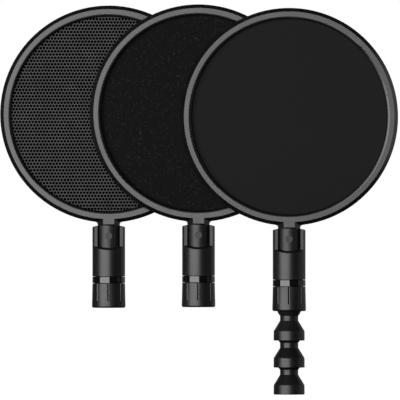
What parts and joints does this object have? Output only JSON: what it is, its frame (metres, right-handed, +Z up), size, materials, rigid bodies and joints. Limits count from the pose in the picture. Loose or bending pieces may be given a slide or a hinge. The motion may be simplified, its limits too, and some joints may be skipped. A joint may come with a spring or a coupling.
{
  "type": "microphone pop filter",
  "caption": "Pop filter with interchangeable round fabric, foam and perforated metal heads, clamp collars and a short ball-and-socket link arm.",
  "frame": {"origin": "centre of the open mouth of the lowest arm link's socket", "axes": "+Z up along the arm, heads face -Y, spare heads stand behind and to the -X side"},
  "size_m": [0.2788, 0.0464, 0.2731],
  "materials": {
    "arm_plastic": "satin moulded black acetal",
    "rim_plastic": "fine matt black moulding",
    "coupler_plastic": "satin moulded black plastic",
    "hoop_plastic": "matt black",
    "collet_plastic": "natural acetal",
    "accent_gloss": "polished black",
    "screw_steel": "black oxide, socket head",
    "pad_rubber": "matt black rubber",
    "cloth": "fine black woven cloth, stretched",
    "foam": "dark open-cell foam",
    "perforated_metal": "black perforated sheet, staggered round holes",
    "liner_cloth": "thin black felt behind the perforated sheet"
  },
  "bodies": {
    "arm_link_3": {"arm_link_3": "arm_plastic"},
    "arm_link_2": {"arm_link_2": "arm_plastic"},
    "arm_link_1": {"arm_link_1": "arm_plastic"},
    "fabric_head": {"fabric_front_rim": "rim_plastic", "fabric_back_rim": "rim_plastic", "fabric_screen": "cloth", "fabric_hoop": "hoop_plastic", "fabric_housing": "coupler_plastic", "fabric_stem_screw": "screw_steel", "fabric_accent_ring": "accent_gloss", "fabric_collet": "collet_plastic", "fabric_ball_pad": "pad_rubber"},
    "fabric_collar": {"fabric_collar": "coupler_plastic"},
    "foam_head": {"foam_front_rim": "rim_plastic", "foam_back_rim": "rim_plastic", "foam_screen": "foam", "foam_hoop": "hoop_plastic", "foam_housing": "coupler_plastic", "foam_stem_screw": "screw_steel", "foam_accent_ring": "accent_gloss", "foam_collet": "collet_plastic", "foam_ball_pad": "pad_rubber"},
    "foam_collar": {"foam_collar": "coupler_plastic"},
    "metal_head": {"metal_front_rim": "rim_plastic", "metal_back_rim": "rim_plastic", "metal_screen": "perforated_metal", "metal_backing": "liner_cloth", "metal_hoop": "hoop_plastic", "metal_housing": "coupler_plastic", "metal_stem_screw": "screw_steel", "metal_accent_ring": "accent_gloss", "metal_collet": "collet_plastic", "metal_ball_pad": "pad_rubber"},
    "metal_collar": {"metal_collar": "coupler_plastic"}
  },
  "joints": [
    {"name": "lower_link_bend", "type": "hinge", "parent": "arm_link_3", "child": "arm_link_2", "pos_m": [0, 0, 0.02324], "axis": [1, 0, 0], "range_deg": [-15, 15]},
    {"name": "upper_link_bend", "type": "hinge", "parent": "arm_link_2", "child": "arm_link_1", "pos_m": [0, 0, 0.04214], "axis": [0, 1, 0], "range_deg": [-15, 15]},
    {"name": "head_swivel", "type": "hinge", "parent": "arm_link_1", "child": "fabric_head", "pos_m": [0, 0, 0.06104], "axis": [0, 0, 1], "continuous": true},
    {"name": "fabric_collar_twist", "type": "hinge", "parent": "fabric_head", "child": "fabric_collar", "pos_m": [0, 0, 0.06104], "axis": [0, 0, 1], "range_deg": [0, 90]},
    {"name": "foam_head_move_aside", "type": "slide", "parent": "fabric_head", "child": "foam_head", "axis": [-1, 0, 0], "range_m": [0, 0.12]},
    {"name": "foam_collar_twist", "type": "hinge", "parent": "foam_head", "child": "foam_collar", "pos_m": [-0.0634, 0.0114, 0.06374], "axis": [0, 0, 1], "range_deg": [0, 90]},
    {"name": "metal_head_move_aside", "type": "slide", "parent": "foam_head", "child": "metal_head", "axis": [-1, 0, 0], "range_m": [0, 0.12]},
    {"name": "metal_collar_twist", "type": "hinge", "parent": "metal_head", "child": "metal_collar", "pos_m": [-0.1264, 0.0228, 0.06314], "axis": [0, 0, 1], "range_deg": [0, 90]}
  ]
}
